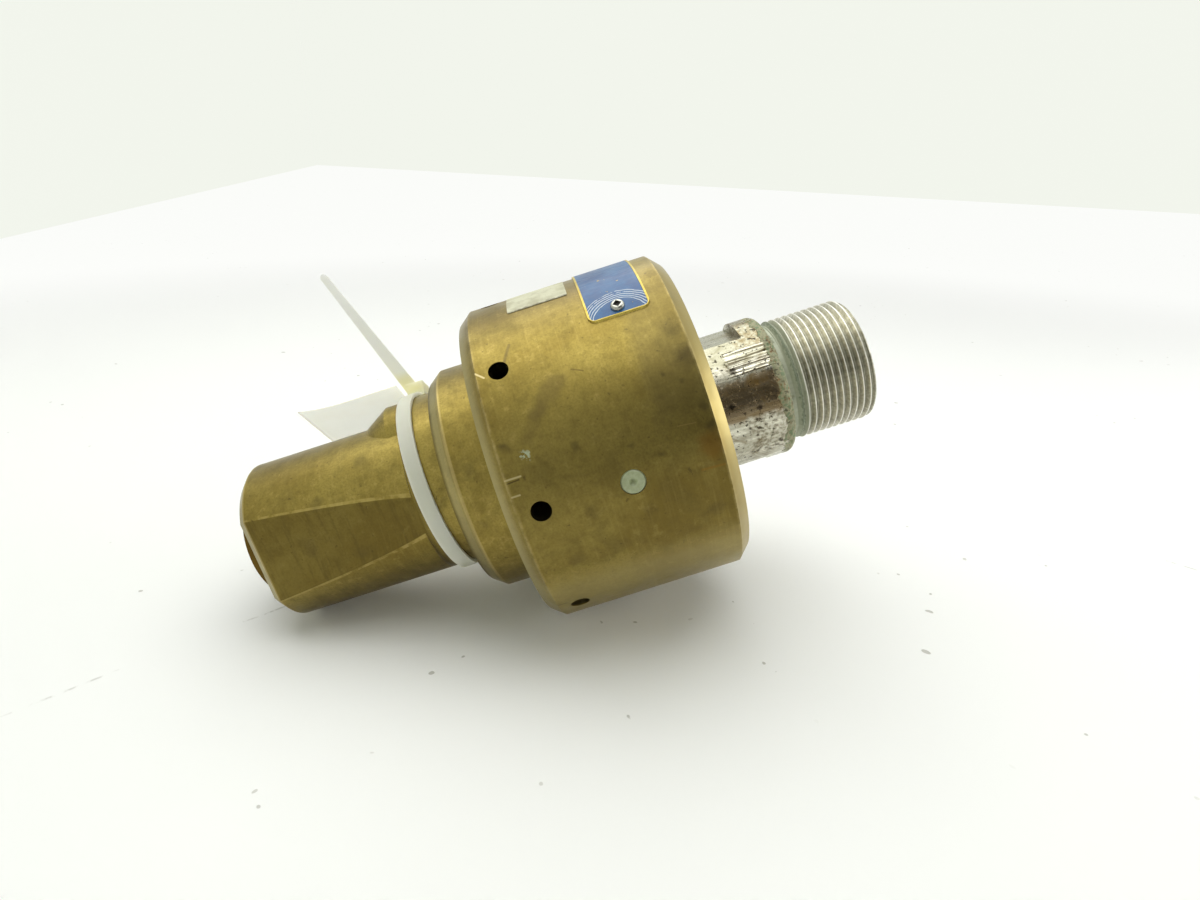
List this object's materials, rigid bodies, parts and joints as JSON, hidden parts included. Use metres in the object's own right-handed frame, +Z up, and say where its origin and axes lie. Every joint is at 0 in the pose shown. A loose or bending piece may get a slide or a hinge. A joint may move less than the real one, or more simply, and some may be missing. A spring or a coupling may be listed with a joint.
{
  "type": "hydraulic rotary union",
  "caption": "Hydraulic rotary union: round stationary bronze body with a threaded inlet end and a turning threaded steel rotor.",
  "frame": {"origin": "on the rotation axis, at the mouth of the inlet port", "axes": "+X along the rotation axis from the inlet port to the rotor's thread, +Z up, +Y away from the wrench flat and lubrication port"},
  "size_m": [0.2106, 0.108, 0.1308],
  "materials": {
    "bronze": "machined, tarnished",
    "stainless_steel": "machined, grimy",
    "bearing_steel": "ground",
    "ball_steel": "polished",
    "cage_brass": "satin",
    "spring_steel": "oiled",
    "seal_iron": "lapped",
    "seal_rubber": "matte",
    "clear_plastic": "translucent",
    "plate_enamel": "gloss",
    "label_paper": "matte",
    "tie_nylon": "translucent satin",
    "tag_card": "matte"
  },
  "bodies": {
    "stationary_body": {"housing": "bronze", "end_cap": "bronze", "front_outer_ring": "bearing_steel", "rear_outer_ring": "bearing_steel", "outer_spacer": "bearing_steel", "lip_seal": "seal_rubber", "seal_pins": "bearing_steel", "seal_spring": "spring_steel", "seal_o_ring": "seal_rubber", "cap_o_ring": "seal_rubber", "lube_plug": "clear_plastic", "nameplate": "plate_enamel", "drive_screws": "stainless_steel", "paper_label": "label_paper", "cable_tie": "tie_nylon", "hang_tag": "tag_card"},
    "turning_rotor": {"rotor": "stainless_steel", "front_inner_ring": "bearing_steel", "rear_inner_ring": "bearing_steel", "inner_spacer": "bearing_steel", "retaining_ring": "spring_steel", "seal_seat": "seal_iron"},
    "floating_seal": {"floating_seal_ring": "seal_iron"},
    "front_ball_set": {"front_balls": "ball_steel", "front_cage": "cage_brass"},
    "rear_ball_set": {"rear_balls": "ball_steel", "rear_cage": "cage_brass"}
  },
  "joints": [
    {"name": "rotor_spin", "type": "hinge", "parent": "stationary_body", "child": "turning_rotor", "pos_m": [0.1, 0, 0], "axis": [1, 0, 0], "continuous": true},
    {"name": "front_cage_spin", "type": "hinge", "parent": "stationary_body", "child": "front_ball_set", "pos_m": [0.112, 0, 0], "axis": [1, 0, 0], "continuous": true},
    {"name": "rear_cage_spin", "type": "hinge", "parent": "stationary_body", "child": "rear_ball_set", "pos_m": [0.139, 0, 0], "axis": [1, 0, 0], "continuous": true},
    {"name": "seal_float", "type": "slide", "parent": "stationary_body", "child": "floating_seal", "axis": [1, 0, 0], "range_m": [-0.0015, 0], "stiffness_N_per_m": 4000, "springref_m": 0.005, "deforming": ["seal_spring"]}
  ],
  "couplings": [
    {"joint": "front_cage_spin", "follows": "rotor_spin", "ratio": 0.4267},
    {"joint": "rear_cage_spin", "follows": "rotor_spin", "ratio": 0.4267}
  ]
}
